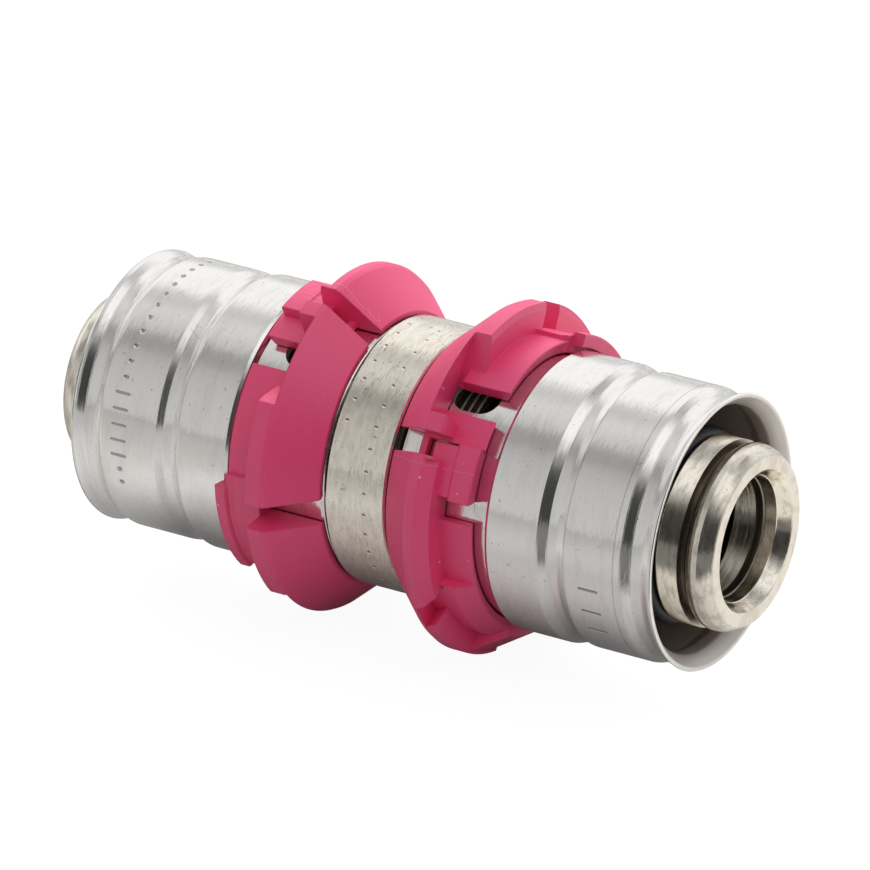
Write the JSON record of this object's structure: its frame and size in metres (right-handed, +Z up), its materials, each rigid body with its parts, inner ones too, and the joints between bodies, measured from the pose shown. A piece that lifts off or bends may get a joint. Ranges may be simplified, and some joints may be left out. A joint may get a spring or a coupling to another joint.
{
  "type": "press coupling",
  "caption": "Straight press coupling for multilayer pipe: turned body with a spigot each way, thin pressing sleeves and slotted moulded stop rings.",
  "frame": {"origin": "on the pipe axis, in the middle of the collar", "axes": "+X along the pipe axis, out of the right socket; +Z up as pictured; -Y faces the viewer"},
  "size_m": [0.055, 0.026, 0.0258],
  "materials": {
    "nickel_plate": "nickel-plated, worn satin",
    "sleeve_aluminium": "bright, finely mottled",
    "ring_plastic": "matte, as moulded",
    "seal_rubber": "matte"
  },
  "bodies": {
    "root": {"body": "nickel_plate", "press_sleeve_left": "sleeve_aluminium", "press_sleeve_right": "sleeve_aluminium", "stop_ring_left": "ring_plastic", "stop_ring_right": "ring_plastic", "o_ring_left_inner": "seal_rubber", "o_ring_left_outer": "seal_rubber", "o_ring_right_inner": "seal_rubber", "o_ring_right_outer": "seal_rubber"}
  },
  "joints": []
}
